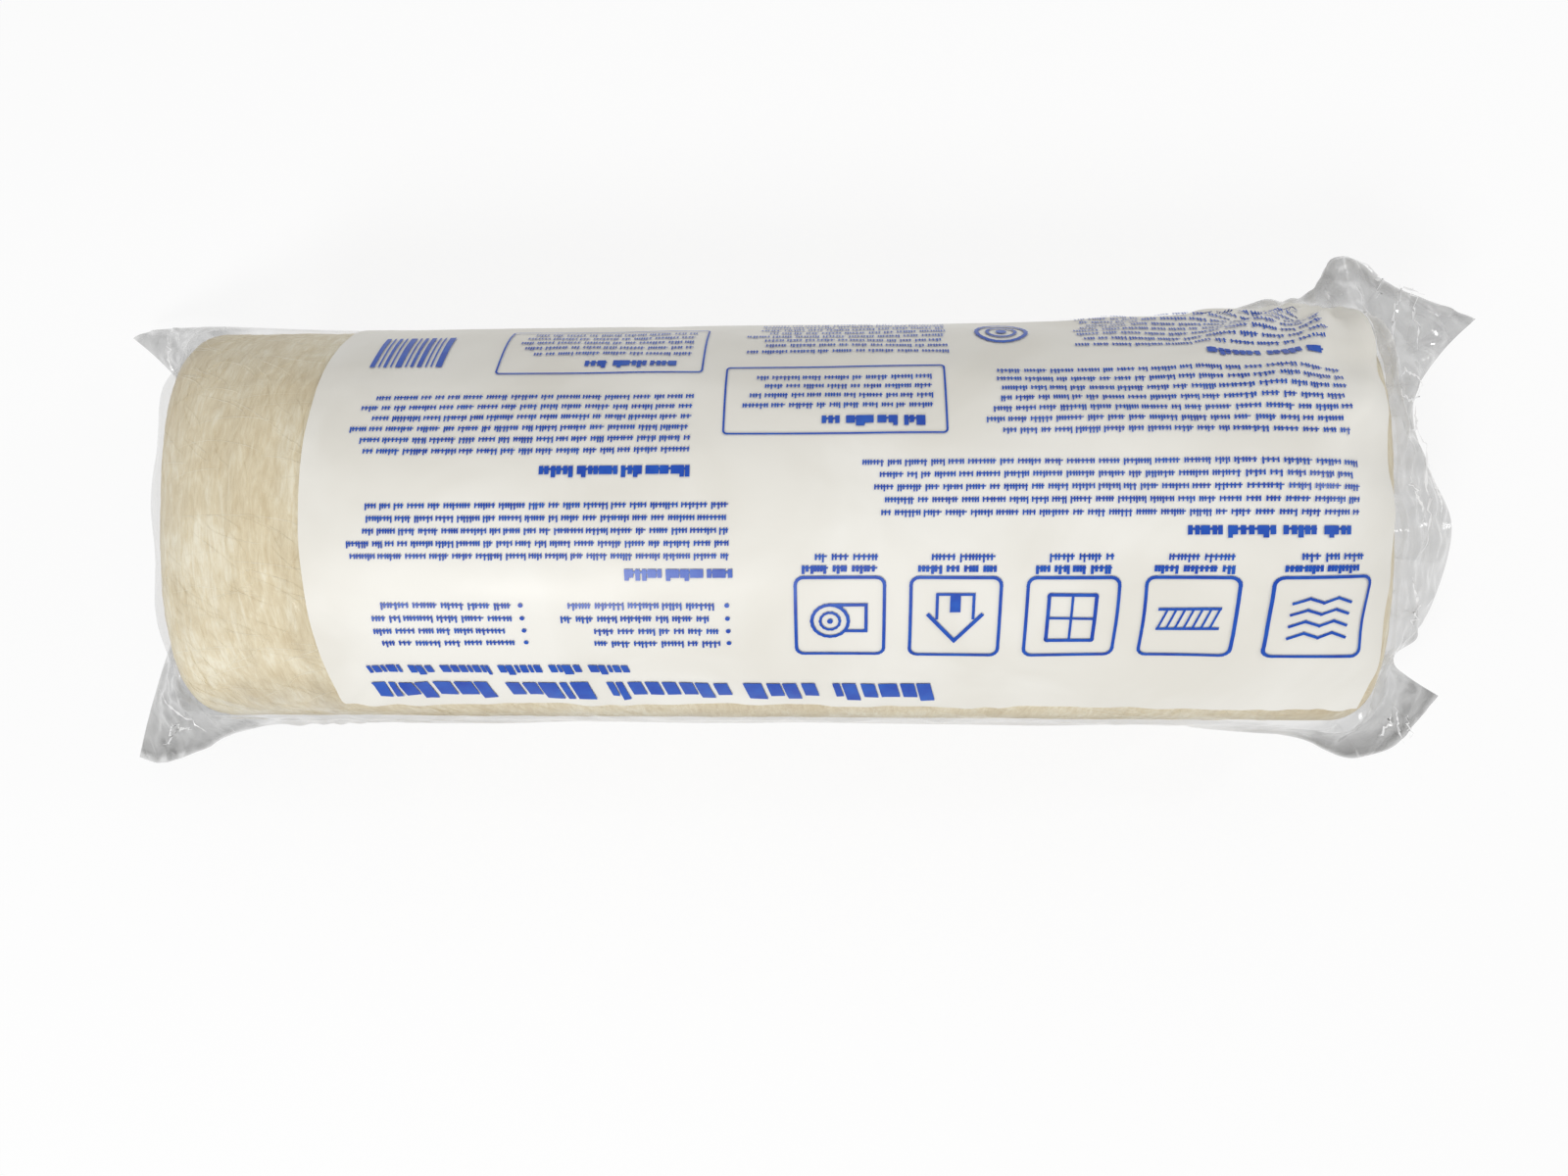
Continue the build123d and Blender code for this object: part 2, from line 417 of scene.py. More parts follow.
# %% Close the wool's shell
def wrap_grid(grid, marks):
    """A bmesh grid laid on the points of a wrapped grid, its seam and poles merged."""
    bm = bmesh.new()
    rows, columns = grid.shape[0] - 1, grid.shape[1] - 1
    bmesh.ops.create_grid(bm, x_segments=rows, y_segments=columns, size=0.5)
    layers = {name: bm.verts.layers.float.new(name) for name in marks}
    for vert in bm.verts:
        row, column = round((vert.co.x + 0.5) * rows), round((vert.co.y + 0.5) * columns)
        for name, layer in layers.items():
            vert[layer] = marks[name][row, column]
        vert.co = grid[row, column]
    bmesh.ops.remove_doubles(bm, verts=bm.verts, dist=0.005 * MM)
    bmesh.ops.recalc_face_normals(bm, faces=bm.faces)
    return bm


def wool_material():
    """Cream mat with silky strands that cross, with painted shade in the gaps between the turns and in the
    eye.
    """
    wool = Material("glass_wool")
    place = wool.object_place()
    clouds = wool.grain(place, (24, 30, 30), 3.0, 0.5, 0.6)
    strands = wool.grain(place, (520, 105, 105), 5.0, 0.65, 1.0, (0, 0, 0.6))
    crossing = wool.grain(place, (430, 90, 90), 5.0, 0.65, 1.2, (0, 0, -0.5))
    tufts = wool.grain(place, (120, 60, 60), 4.0, 0.6, 1.4, (0, 0, 0.9))
    tone = strands * 0.28 + crossing * 0.22 + clouds * 0.28 + tufts * 0.22
    stops = [(0.4, paint(213, 196, 160)), (0.5, paint(229, 216, 184)), (0.6, paint(246, 239, 216))]
    # Painted shade: the deeper a point lies in a gap or the eye, the more it turns dark brown.
    shade = wool.blend(wool.mark("depth") * 0.75, wool.ramp(stops, tone), paint(96, 82, 58))
    relief = wool.bumps(0.5, 0.6 * MM, strands * 0.6 + crossing * 0.5 + tufts)
    return wool.surface({"Base Color": shade, "Roughness": 0.95, "Normal": relief,
                         "Sheen Weight": 0.25, "Sheen Roughness": 0.6})


glass_wool = wool_material()
wool = add_piece("wool_roll", wrap_grid(shaped_wool, {"depth": painted_gap_shade}), [glass_wool])
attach(wool, "root")
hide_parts("glass_wool_roll")
print("wool faces", len(wool.data.polygons))

# %% [markdown]
# ## Loose fibres
#
# Up close the mat is full of single fibres that lie in soft curls on it. Each is a ribbon a tenth
# of a millimetre wide. One long grid is cut into strips, and every strip is laid on the wool
# along a gently curving path.

# %% Lay the fibres
fibre_count, fibre_steps, fibre_width = 6500, 8, 0.12 * MM
draw = random.Random(11)


def lay_fibres():
    """Strips of a grid, each laid along a curl on the wool."""
    bm = bmesh.new()
    bmesh.ops.create_grid(bm, x_segments=2 * fibre_count - 1, y_segments=fibre_steps, size=0.5)
    between = [face for face in bm.faces
               if int((face.calc_center_median().x + 0.5) * (2 * fibre_count - 1)) % 2]
    bmesh.ops.delete(bm, geom=between, context="FACES")
    paths = np.zeros((fibre_count, fibre_steps + 1, 2))
    for number in range(fibre_count):
        at_end = draw.random() < 0.3
        row = draw.uniform(4, face_rows) if at_end else draw.uniform(face_rows, len(wool_side) / 2)
        if draw.random() < 0.5:
            row = len(wool_side) - 1 - row
        column = draw.uniform(3, wool_columns - 3)
        heading, curl = math.pi / 2 + draw.gauss(0.3, 0.6), draw.uniform(-0.16, 0.16)
        step = draw.uniform(0.6, 1.6)
        for joint in range(fibre_steps + 1):
            paths[number, joint] = (row, column)
            row = min(max(row + step * math.cos(heading), 2), len(wool_side) - 3)
            column = min(max(column + step * math.sin(heading), 0), wool_columns - 0.01)
            heading += curl + draw.uniform(-0.12, 0.12)
    lifts = np.array([draw.uniform(0.05, 0.22) * MM for _ in range(fibre_count)])
    points = np.zeros((fibre_count, fibre_steps + 1, 3))
    for joint in range(fibre_steps + 1):
        points[:, joint] = wool_surface.at(paths[:, joint, 0], paths[:, joint, 1], lifts[:, None])
    sideways = unit(np.cross(np.gradient(points, axis=1), points - [0, 0, middle_height]))
    for vert in bm.verts:
        line = round((vert.co.x + 0.5) * (2 * fibre_count - 1))
        joint = round((vert.co.y + 0.5) * fibre_steps)
        taper = 1 - abs(joint / fibre_steps * 2 - 1) ** 4 * 0.8
        side = (line % 2 - 0.5) * fibre_width * taper
        vert.co = points[line // 2, joint] + sideways[line // 2, joint] * side
        vert.co.z = max(vert.co.z, 0.3 * MM)
    return bm


def fibre_material():
    """Bright silky strands."""
    fibre = Material("loose_fibre")
    stops = [(0.35, paint(236, 226, 198)), (0.65, paint(252, 249, 236))]
    shade = fibre.ramp(stops, fibre.grain(fibre.object_place(), (60, 60, 60)))
    return fibre.surface({"Base Color": shade, "Roughness": 0.45})


fibres = add_piece("wool_fibres", lay_fibres(), [fibre_material()])
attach(fibres, "root")
print("fibres", fibre_count)

# %% [markdown]
# ## The film as a flat cut
#
# Real bags of this kind start as a tube that lies flat. It has two faces and a crease at each
# side. A grid makes that cut: one way runs along the roll, the other way round it. The grid is
# finer near the ends, where the film wrinkles, and plain over the body.

# %% The cut of the film
flat_width, bag_length = 223 * MM, 556 * MM
end_rows, body_rows, film_columns = 46, 64, 148
sim_start = 146 * MM
panel_near, panel_far = -75 * MM, 104 * MM
panel_left, panel_right = -140 * MM, 190 * MM

row_places = np.concatenate([
    np.linspace(-bag_length / 2, -sim_start, end_rows, endpoint=False),
    np.linspace(-sim_start, sim_start, body_rows, endpoint=False),
    np.linspace(sim_start, bag_length / 2, end_rows + 1),
])
for edge in (panel_left, panel_right):
    row_places[np.argmin(abs(row_places - edge))] = edge
column_places = np.linspace(-flat_width, flat_width, film_columns + 1)
for edge in (panel_near, panel_far):
    column_places[np.argmin(abs(column_places - edge))] = edge
print("cut", 2 * flat_width, "by", bag_length, "grid", len(row_places), len(column_places))

# %% [markdown]
# ## Welded ends
#
# A weld is stiff and the roll behind it is round, so the flat weld buckles into a zigzag. The
# two lines below follow it, from the near corner to the far one.

# %% The two welds
left_weld = np.array([
    (-267, -94, 12), (-259, -79, 20), (-245, -58, 34), (-231, -37, 46), (-222, -17, 54), (-225, 4, 48),
    (-220, 24, 53), (-225, 43, 46), (-236, 59, 35), (-254, 72, 22), (-270, 82, 12),
]) * MM
right_weld = np.array([
    (242, -62, 52), (227, -55, 62), (212, -47, 76), (232, -37, 60), (245, -19, 48), (251, -2, 44),
    (247, 7, 48), (233, 19, 62), (217, 40, 80), (236, 61, 66), (253, 74, 56),
]) * MM
weld_gap = 0.3 * MM

# The side creases on their way from the body to the corners of the welds
crease_ways = {
    (-1, -1): [(-146, -71.5, 66), (-186, -73, 61), (-206, -77.6, 46), (-232.5, -89.5, 30),
               (-256, -96.6, 18), (-267, -94, 12)],
    (-1, 1): [(-146, 71.5, 66), (-190, 74, 62), (-221, 78, 50), (-259, 84, 20), (-270, 82, 12)],
    (1, -1): [(146, -71.5, 66), (190, -75.5, 55), (206, -84.9, 50), (214, -85.9, 50), (228, -81, 50),
              (242, -62, 52)],
    (1, 1): [(146, 71.5, 66), (188, 77, 66), (199, 91, 66), (206, 95, 66), (216, 86, 64), (253, 74, 56)],
}


def smooth_line(points, rounds=2):
    """Cuts the corners of a line a few times."""
    for _ in range(rounds):
        near, far = points[:-1], points[1:]
        middle = np.stack([near * 0.75 + far * 0.25, near * 0.25 + far * 0.75], 1).reshape(-1, 3)
        points = np.concatenate([points[:1], middle[1:-1], points[-1:]])
    return points


def folded_flat(around):
    """Where places round the film lie on the flat tube, and how high: its faces are a hair apart."""
    under = abs(around) > flat_width / 2
    flat = np.where(under, np.sign(around) * flat_width - around, around)
    return flat, np.where(under, -0.5, 0.5) * weld_gap


def weld_points(weld, around):
    """The weld's point for each place round the film."""
    flat, height = folded_flat(around)
    points = along(smooth_line(weld), flat / flat_width + 0.5)
    points[:, 2] += height
    return points


for name, weld in (("left", left_weld), ("right", right_weld)):
    print(name, "weld", np.linalg.norm(np.diff(smooth_line(weld), axis=0), axis=1).sum().round(4))

# %% [markdown]
# Each row of the flat cut is now wrapped round the roll's outline. Past the rim of the roll it
# closes in towards its weld, and its side creases follow the ways given above.

# %% Wrap the film round the roll
film_gap, shoulder_path = 0.8 * MM, 75 * MM
film_floor, crease_pull = 0.5 * MM, 14 * MM
rim = body_half + shoulder_path
fold_seed, fold_count = 3.5 * MM, 11


def crinkles(points, share):
    """Small crisp facets that start the film's wrinkles off."""
    moves = np.zeros_like(points)
    metric = {"distance_metric": "DISTANCE", "exponent": 2.5}
    for number, point in enumerate(points):
        near, _ = noise.voronoi(Vector(point) * 70, **metric)
        moves[number, 0] = (near[1] - near[0]) * 4.5 * MM * share
        near, _ = noise.voronoi(Vector(point) * 110 + Vector((3, 5, 7)), **metric)
        moves[number, 2] = (near[1] - near[0] - 0.3) * 4 * MM * share
    return moves


def pull_to_creases(points, around, side, beyond):
    """Pulls the film beside each crease onto the crease's own way. The points are moved in place."""
    for end in (-1, 1):
        way = along(smooth_line(np.array(crease_ways[side, end]) * MM), np.array([beyond]))[0]
        off = abs(around - end * flat_width / 2)
        crease = points[np.argmin(off)].copy()
        points += (way - crease) * np.exp(-(off / crease_pull) ** 2)[:, None]


def film_row(place, around):
    """The points of one row of the film, wrapped round the roll."""
    side = math.copysign(1, place)
    share = min(max((abs(place) - body_half) / shoulder_path, 0), 1)
    share = math.sin(share * math.pi / 2)
    x = min(abs(place), body_half) + (shoulder_length + film_gap) * share
    half_width, rise, drop = end_shape(min(body_half + shoulder_length * share, half_length))
    reach = roll_radius + crease_reach + (ear_reach - crease_reach) * share ** 4
    shares = 2 * abs(around) / flat_width
    ring = outline(half_width + film_gap, rise + film_gap, drop + film_gap * 0.6, reach, shares)
    points = np.zeros((len(around), 3))
    points[:, 0] = side * x
    points[:, 1] = ring[:, 0] * np.sign(around)
    points[:, 2] = ring[:, 1] + middle_height
    radial = unit(points[:, 1:] - (0, middle_height), 1e-6)
    wave = 0.5 + 0.5 * np.cos(math.pi * fold_count * around / flat_width + side)
    points[:, 1:] += radial * (fold_seed * share ** 2 * wave)[:, None]
    beyond = (abs(place) - sim_start) / (bag_length / 2 - sim_start)
    if sim_start < abs(place) <= rim:
        pull_to_creases(points, around, side, beyond)
    if abs(place) > rim:
        closing = (abs(place) - rim) / (bag_length / 2 - rim)
        weld = weld_points(left_weld if side < 0 else right_weld, around)
        points = points * (1 - closing) + weld * closing
        pull_to_creases(points, around, side, beyond)
        points += crinkles(points, min(closing * 3, 1) * min((1 - closing) * 6, 1))
    points[:, 2] = np.maximum(points[:, 2], film_floor)
    return points

# %% [markdown]
# Over the body the film isn't smooth. It stands off the wool in soft waves, and in folds that
# fan out from two pinches: the far corner by the taller flap, and the near corner at the other end.

# %% Raise the folds
far_pinch, far_reach = (196 * MM, 108 * MM), 105 * MM
near_pinch, near_reach = (-152 * MM, -92 * MM), 75 * MM
pleat_start, wave_pitch, wave_drift = 18 * MM, 31 * MM, 9 * MM
near_line, near_blur = -84 * MM, 15 * MM
loose_from, loose_run = 60 * MM, 130 * MM


def pleats(x, s, pinch, reach, count):
    """Folds that run out from a pinch like a fan: sharp near it, dying out away from it."""
    out_x, out_s = x - pinch[0], s - pinch[1]
    away = math.hypot(out_x, out_s)
    turn = math.atan2(out_s, out_x) + 0.16 * smooth_noise((x, s, 1.7), 22, 2)
    wave = math.cos(turn * count)
    fade = max(1 - away / reach, 0) ** 1.2 * min(away / pleat_start, 1)
    return (0.5 + 0.5 * wave) ** 1.6 * fade


def fold_lift(x, s):
    """How far the film stands off the wool over the body."""
    drift = wave_drift * smooth_noise((x, s, 0.4), 16, 2)
    along_pull = math.sin((s + x * 0.35 + drift) * 2 * math.pi / wave_pitch)
    across = smooth_noise((x * 0.5, s * 1.6, 0.2), 42, 3)
    puckers = abs(smooth_noise((x * 1.6, s * 0.6, 0.9), 60, 2))
    near_crease = math.exp(-((s - near_line) / near_blur) ** 2)
    loose_end = max(0.0, (x - loose_from) / loose_run)
    soft = max(0.4 + 0.35 * along_pull + 0.45 * across, 0) * (0.25 + 0.45 * loose_end)
    return (soft + 1.5 * puckers * near_crease
            + 3.2 * pleats(x, s, far_pinch, far_reach, 21)
            + 1.2 * pleats(x, s, near_pinch, near_reach, 18)) * fold_height


fold_height, fold_span = 2.2 * MM, 120 * MM
film_grid = np.stack([film_row(place, column_places) for place in row_places])
wrapped_outward = Surface(film_grid).outward
for row, x in enumerate(row_places):
    for column, s in enumerate(column_places[:-1]):
        if abs(x) < rim and abs(s) < fold_span:
            film_grid[row, column] += wrapped_outward[row, column] * fold_lift(x, s)
film_grid[:, :, 2] = np.maximum(film_grid[:, :, 2], film_floor)
film_grid[:, -1] = film_grid[:, 0]
print("wrapped", film_grid.reshape(-1, 3).min(0), film_grid.reshape(-1, 3).max(0))

# %% [markdown]
# ## Let the ends settle
#
# Nobody can draw the wrinkles of a gathered end by hand, so cloth simulation finds them. The rest
# shape is the flat cut, so the film can buckle but hardly stretch. The body and the welds are
# held still. The wool and the floor push back. The work is done ten times life size, because the
# simulation has smallest distances of its own.

# %% Run the film's simulation
WORK_SCALE = 10
settle_frames = 32
CLOTH = {"quality": 7, "mass": 0.3, "tension_stiffness": 60, "compression_stiffness": 60,
         "shear_stiffness": 30, "bending_stiffness": 0.3, "tension_damping": 20,
         "compression_damping": 20, "air_damping": 1.5}


def film_bmesh(grid, marks):
    """The film as a closed tube, with its flat cut as a UV map and with marks on its points."""
    bm = bmesh.new()
    rows, columns = len(row_places) - 1, len(column_places) - 1
    bmesh.ops.create_grid(bm, x_segments=rows, y_segments=columns, size=0.5)
    uv = bm.loops.layers.uv.new("film")
    row_mark, column_mark = bm.verts.layers.int.new("row"), bm.verts.layers.int.new("column")
    for vert in bm.verts:
        vert[row_mark] = round((vert.co.x + 0.5) * rows)
        vert[column_mark] = round((vert.co.y + 0.5) * columns)
    for face in bm.faces:
        for loop in face.loops:
            loop[uv].uv = (row_places[loop.vert[row_mark]], column_places[loop.vert[column_mark]])
        centre = face.calc_center_median()
        row, column = int((centre.x + 0.5) * rows), int((centre.y + 0.5) * columns)
        x, s = row_places[row:row + 2].mean(), column_places[column:column + 2].mean()
        face.material_index = int(panel_left < x < panel_right and panel_near < s < panel_far)
    for vert in bm.verts:
        vert.co = grid[vert[row_mark], vert[column_mark]]
    seam = [vert for vert in bm.verts if vert[column_mark] in (0, columns)]
    bmesh.ops.remove_doubles(bm, verts=seam, dist=0.01 * MM)
    layers = {name: bm.verts.layers.float.new(name) for name in marks}
    for vert in bm.verts:
        for name, layer in layers.items():
            vert[layer] = marks[name][vert[row_mark], vert[column_mark]]
    return bm


def grid_marks(mesh):
    """Row and column of each vertex."""
    marks = []
    for name in ("row", "column"):
        values = np.zeros(len(mesh.vertices), dtype=np.int32)
        mesh.attributes[name].data.foreach_get("value", values)
        marks.append(values)
    return marks


def settle_film(grid):
    """Runs cloth on a copy of the film and returns the settled grid."""
    scene = bpy.context.scene
    work = add_piece("film_at_work", film_bmesh(grid * WORK_SCALE, {}), [])
    mesh = work.data
    rows, columns = grid_marks(mesh)
    x, s = row_places[rows], column_places[columns]
    work.shape_key_add(name="wrapped")
    cut = work.shape_key_add(name="cut")
    cut.data.foreach_set("co", (np.column_stack([x, *folded_flat(s)]) * WORK_SCALE).ravel())
    held = work.vertex_groups.new(name="held")
    still = (abs(x) <= sim_start + 0.1 * MM) | (rows == 0) | (rows == len(row_places) - 1)
    still |= abs(abs(s) - flat_width / 2) < 0.5 * MM
    held.add([int(index) for index in np.flatnonzero(still)], 1.0, "REPLACE")
    cloth = work.modifiers.new("cloth", "CLOTH")
    cloth.settings.vertex_group_mass = "held"
    cloth.settings.rest_shape_key = cut
    for setting, value in CLOTH.items():
        setattr(cloth.settings, setting, value)
    cloth.settings.effector_weights.gravity = 0
    cloth.collision_settings.distance_min = 0.5 * MM * WORK_SCALE
    cloth.collision_settings.collision_quality = 3
    cloth.point_cache.frame_start, cloth.point_cache.frame_end = 1, settle_frames
    coarse = np.concatenate([wool_grid[::2, ::4], wool_grid[::2, :1]], axis=1)
    ground = bmesh.new()
    bmesh.ops.create_grid(ground, x_segments=8, y_segments=8, size=4)
    stops = [add_piece("wool_at_work", wrap_grid(coarse * WORK_SCALE, {}), []),
             add_piece("floor_at_work", ground, [])]
    for stop in stops:
        stop.modifiers.new("collision", "COLLISION")
        stop.collision.thickness_outer = 0.2 * MM * WORK_SCALE
        stop.collision.cloth_friction = 2
    for frame_number in range(1, settle_frames + 1):
        scene.frame_set(frame_number)
    shaped = work.evaluated_get(bpy.context.evaluated_depsgraph_get()).data.vertices
    points = np.zeros(len(shaped) * 3)
    shaped.foreach_get("co", points)
    settled = grid.copy()
    settled[rows, columns] = points.reshape(-1, 3) / WORK_SCALE
    settled[:, -1] = settled[:, 0]
    for done in [work, *stops]:
        bpy.data.objects.remove(done)
    scene.frame_set(1)
    return settled


moved_from = film_grid.copy()
film_grid = settle_film(film_grid)
moved = np.linalg.norm(film_grid - moved_from, axis=2)
print("film moved by up to", round(float(moved.max()) / MM, 1), "mm")
film_grid[:, :, 2] = np.maximum(film_grid[:, :, 2], film_floor)
film_surface = Surface(film_grid)

# %% [markdown]
# ## The clear film
#
# Thin film is nearly invisible face on and turns milky at a slant, along its creases and where
# two layers lie together. Crease marks come from the settled shape itself: each point remembers
# how sharply the film bends there, and the material whitens with it. These are painted highlights,
# together with the white of sharply folded film.
# Two more numbers say where the film stands off the wool and looks hazy, and where it carries
# painted shade: along its side creases, at the end with the lower flap and in a band on the near
# side, and more on the left half than on the right. The painted shade darkens the film's grey, and
# in these bands it also raises the haze number, so that the film covers more.

# %% Measure how the film bends, where it stands off and where it gets painted shade
bend_start, bend_span = 0.25, 0.9
loose_start, loose_span = 3.5 * MM, 7 * MM
crease_blur, ear_start, ear_blur = 3 * MM, 186 * MM, 20 * MM
band_start, band_blur, band_past = 78 * MM, 16 * MM, 12 * MM


def bend_of(surface):
    """How much the outward direction turns from one point to the next, from 0 to 1."""
    turned = np.zeros(surface.grid.shape[:2])
    for turned_one_way, outward in ((turned, surface.outward), (turned.T, surface.outward.swapaxes(0, 1))):
        change = np.linalg.norm(np.diff(outward, axis=0), axis=2)
        for side in (turned_one_way[:-1], turned_one_way[1:]):
            np.maximum(side, change, out=side)
    return np.clip((turned - bend_start) / bend_span, 0, 1)


def tree_of(points):
    """A tree that finds the nearest of some points."""
    tree = kdtree.KDTree(len(points))
    for number, point in enumerate(points):
        tree.insert(point, number)
    tree.balance()
    return tree


def loose_of(grid):
    """How far each point of the film is from the wool, from 0 on it to 1 well off it."""
    wool_points = shaped_wool[::2, ::2].reshape(-1, 3)
    tree = tree_of(wool_points)
    away = np.array([tree.find(point)[2] for point in grid.reshape(-1, 3)]).reshape(grid.shape[:2])
    return np.clip((away - loose_start) / loose_span, 0, 1)


# How sharply the film bends, which drives its painted highlights.
bend_for_painted_highlight = bend_of(film_surface)
bend_for_painted_highlight[(abs(row_places) < body_half), :] *= 0.3
loose_and_painted_shade = loose_of(film_grid)
side_crease = np.exp(-((abs(column_places) - flat_width / 2) / crease_blur) ** 2)[None, :]
left_end = np.clip((-row_places - ear_start) / ear_blur, 0, 1)[:, None]
near_band = np.clip((-column_places - band_start) / band_blur, 0, 1)
near_band = (near_band * (column_places > -flat_width / 2 - band_past))[None, :]
# Painted shade: the side creases, the left end and the near band raise the haze number.
for painted_shade_band in (side_crease * 0.85, left_end * 0.3, near_band * 0.45):
    loose_and_painted_shade = np.maximum(loose_and_painted_shade, painted_shade_band)
# Painted shade for the film's grey: 0.6 on the left half, 0.2 on the right, full along the side creases and
# the near band.
film_painted_shade = np.maximum(np.where(row_places < 0, 0.6, 0.2)[:, None], np.maximum(side_crease, near_band))
print("bent points", int((bend_for_painted_highlight > 0.5).sum()), "loose points", int((loose_and_painted_shade > 0.5).sum()))

# %% [markdown]
# One sheet carries both: the clear film, and the white ink of the panel printed on it.

# %% The film's two materials
def clear_film_material():
    """Clear film: milky at a slant, where it stands off the wool and along creases, with painted shade in its
    grey and painted highlights along its bends.
    """
    clear = Material("clear_film")
    place = clear.object_place()
    slant = clear.value("ShaderNodeLayerWeight", {}, {"Blend": 0.35}, "Facing")
    bend, loose, smoke = clear.mark("bend"), clear.mark("loose"), clear.mark("smoke")
    haze = clear.grain(place, (45, 45, 45), 3.0, 0.55, 0.8)
    crinkle = clear.grain(place, (110, 110, 110), 2.0, 0.4, 1.5)
    facet_place = {"Vector": clear.stretched(place, (62, 48, 62), (0, 0, 0.35)), "Scale": 1.0}
    facets = clear.value("ShaderNodeTexVoronoi", {"feature": "DISTANCE_TO_EDGE"}, facet_place, "Distance")
    cells = clear.value("ShaderNodeTexVoronoi", {}, facet_place, "Color")
    edges = clear.clamped("SUBTRACT", 1.0, facets * 26) * haze.above(0.52)
    # Painted shade: the grey turns darker where the painted-shade mark is high.
    grey_with_painted_shade = clear.blend(smoke, paint(138, 139, 140), paint(112, 112, 110))
    # Painted highlights: the grey turns white along sharp bends and on the edges of the crinkle facets.
    painted_highlight_share = clear.clamped("ADD", bend * 0.8, edges * 0.25 - smoke * 0.2)
    grey = clear.blend(painted_highlight_share, grey_with_painted_shade, paint(250, 250, 250))
    # Painted shade also makes loose film cover more.
    cover = (0.03 + slant ** 3 * 0.34 + bend * 0.4
             + loose * (0.1 + haze * 0.16 + cells * 0.12 + edges * 0.08 + smoke * 0.26))
    relief = clear.bumps(0.5, 0.9 * MM, crinkle + facets * 0.9)
    return clear.surface({"Base Color": grey, "Roughness": 0.12, "IOR": 2.0, "Alpha": cover,
                          "Coat Weight": 1.0, "Coat Roughness": 0.06, "Normal": relief})


def white_panel_material():
    """The panel's white ink under the film's gloss."""
    panel = Material("white_panel")
    place = panel.object_place()
    stops = [(0.35, paint(231, 228, 219)), (0.65, paint(240, 238, 231))]
    shade = panel.ramp(stops, panel.grain(place, (20, 20, 20), 3.0, 0.5, 0.5))
    relief = panel.bumps(0.3, 0.6 * MM, panel.grain(place, (60, 60, 60), 2.0, 0.4, 1.0))
    return panel.surface({"Base Color": shade, "Roughness": 0.5, "Normal": relief,
                          "Specular IOR Level": 0.35, "Coat Weight": 0.1, "Coat Roughness": 0.25})

# %% [markdown]
# The settled grid becomes the film. Its faces look outward, and one step of smoothing rounds it.

# %% Make the film piece
film_bm = film_bmesh(film_grid, {"bend": bend_for_painted_highlight, "loose": loose_and_painted_shade, "smoke": film_painted_shade})
middle_face = min(film_bm.faces, key=lambda face: (face.calc_center_median() - Vector((0, 0, 1))).length)
if middle_face.normal.z < 0:
    bmesh.ops.reverse_faces(film_bm, faces=film_bm.faces)
film = add_piece("film_bag_sheet", film_bm, [clear_film_material(), white_panel_material()])
finer = film.modifiers.new("finer", "SUBSURF")
finer.levels = finer.render_levels = 1
finer.use_creases = False
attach(film, "root")
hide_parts("film_bag")
print("film faces", len(film.data.polygons))

# %% [markdown]
# ## The print
#
# Bags of this kind are printed in one blue ink: a heavy title, a row of pictures and many rows of
# small writing. This roll has no maker and says nothing, so the print is a design of its own.
# Slanted blocks stand where a title would be, ticks stand for rows of writing, and the pictures
# are plain signs for home building. It is drawn flat, in the film's own measures, and then laid on.

# %% Shapes of ink
ink = bmesh.new()
pen = random.Random(5)


def moved(verts, place):
    """Moves flat ink by a formula of its own x and y."""
    for vert in verts:
        vert.co.x, vert.co.y = place(vert.co.x, vert.co.y)


def quad(place):
    """Four corners of ink, each put in its place by a formula of x and y from -0.5 to 0.5."""
    moved(bmesh.ops.create_grid(ink, x_segments=1, y_segments=1, size=0.5)["verts"], place)


def bar(left, right, near, far, lean=0.0):
    """A filled bar. Its far edge leans to the right by lean times its height."""
    quad(lambda x, y: (left + (right - left) * (x + 0.5) + lean * (far - near) * (y + 0.5),
                       near + (far - near) * (y + 0.5)))


def stroke(start, end, width):
    """A straight line of ink between two points."""
    run = Vector((end[0] - start[0], end[1] - start[1]))
    ahead = run.normalized()

    def place(x, y):
        far = (x + 0.5) * (run.length + width) - width / 2
        return (start[0] + ahead.x * far - ahead.y * y * width,
                start[1] + ahead.y * far + ahead.x * y * width)

    quad(place)


def path(points, width):
    """Strokes from point to point."""
    for start, end in zip(points, points[1:]):
        stroke(start, end, width)


def circle(centre, radius, width, parts=20):
    """A round line."""
    turns = np.linspace(0, 2 * math.pi, parts + 1)
    path([(centre[0] + radius * math.cos(turn), centre[1] + radius * math.sin(turn))
          for turn in turns], width)


def disc(centre, radius):
    """A filled round."""
    verts = bmesh.ops.create_circle(ink, cap_ends=True, segments=20, radius=radius)["verts"]
    moved(verts, lambda x, y: (x + centre[0], y + centre[1]))


def frame_box(left, right, near, far, width, corner=2.5 * MM):
    """A frame with round corners."""
    turns = np.linspace(0, math.pi / 2, 5)
    points = []
    for number, (x, y) in enumerate(((right, far), (left, far), (left, near), (right, near))):
        inward_x, inward_y = (-corner if x == right else corner), (-corner if y == far else corner)
        for turn in turns + number * math.pi / 2:
            points.append((x + inward_x + corner * math.cos(turn), y + inward_y + corner * math.sin(turn)))
    path(points + points[:1], width)


def writing(left, right, near, height, weight=0.5):
    """A row of ticks, grouped like words. Each word is a thin band with ticks across it."""
    x = left
    while x < right - height:
        word_end = min(x + height * pen.uniform(1.4, 4.6), right)
        band = near + height * 0.42
        bar(x, word_end, band, band + height * 0.2)
        while x < word_end - height * 0.1:
            long_tick = pen.random() < 0.25
            low = near - (height * 0.3 if long_tick else 0)
            bar(x, x + height * 0.24 * weight / 0.5, low, near + height * 0.85)
            x += height * pen.choice((0.42, 0.52, 0.64))
        x = word_end + height * 0.6

# %% [markdown]
# The title runs in two lines of slanted blocks. Five framed pictures stand beside it.

# %% Draw the title and the pictures
title_lean = -0.22


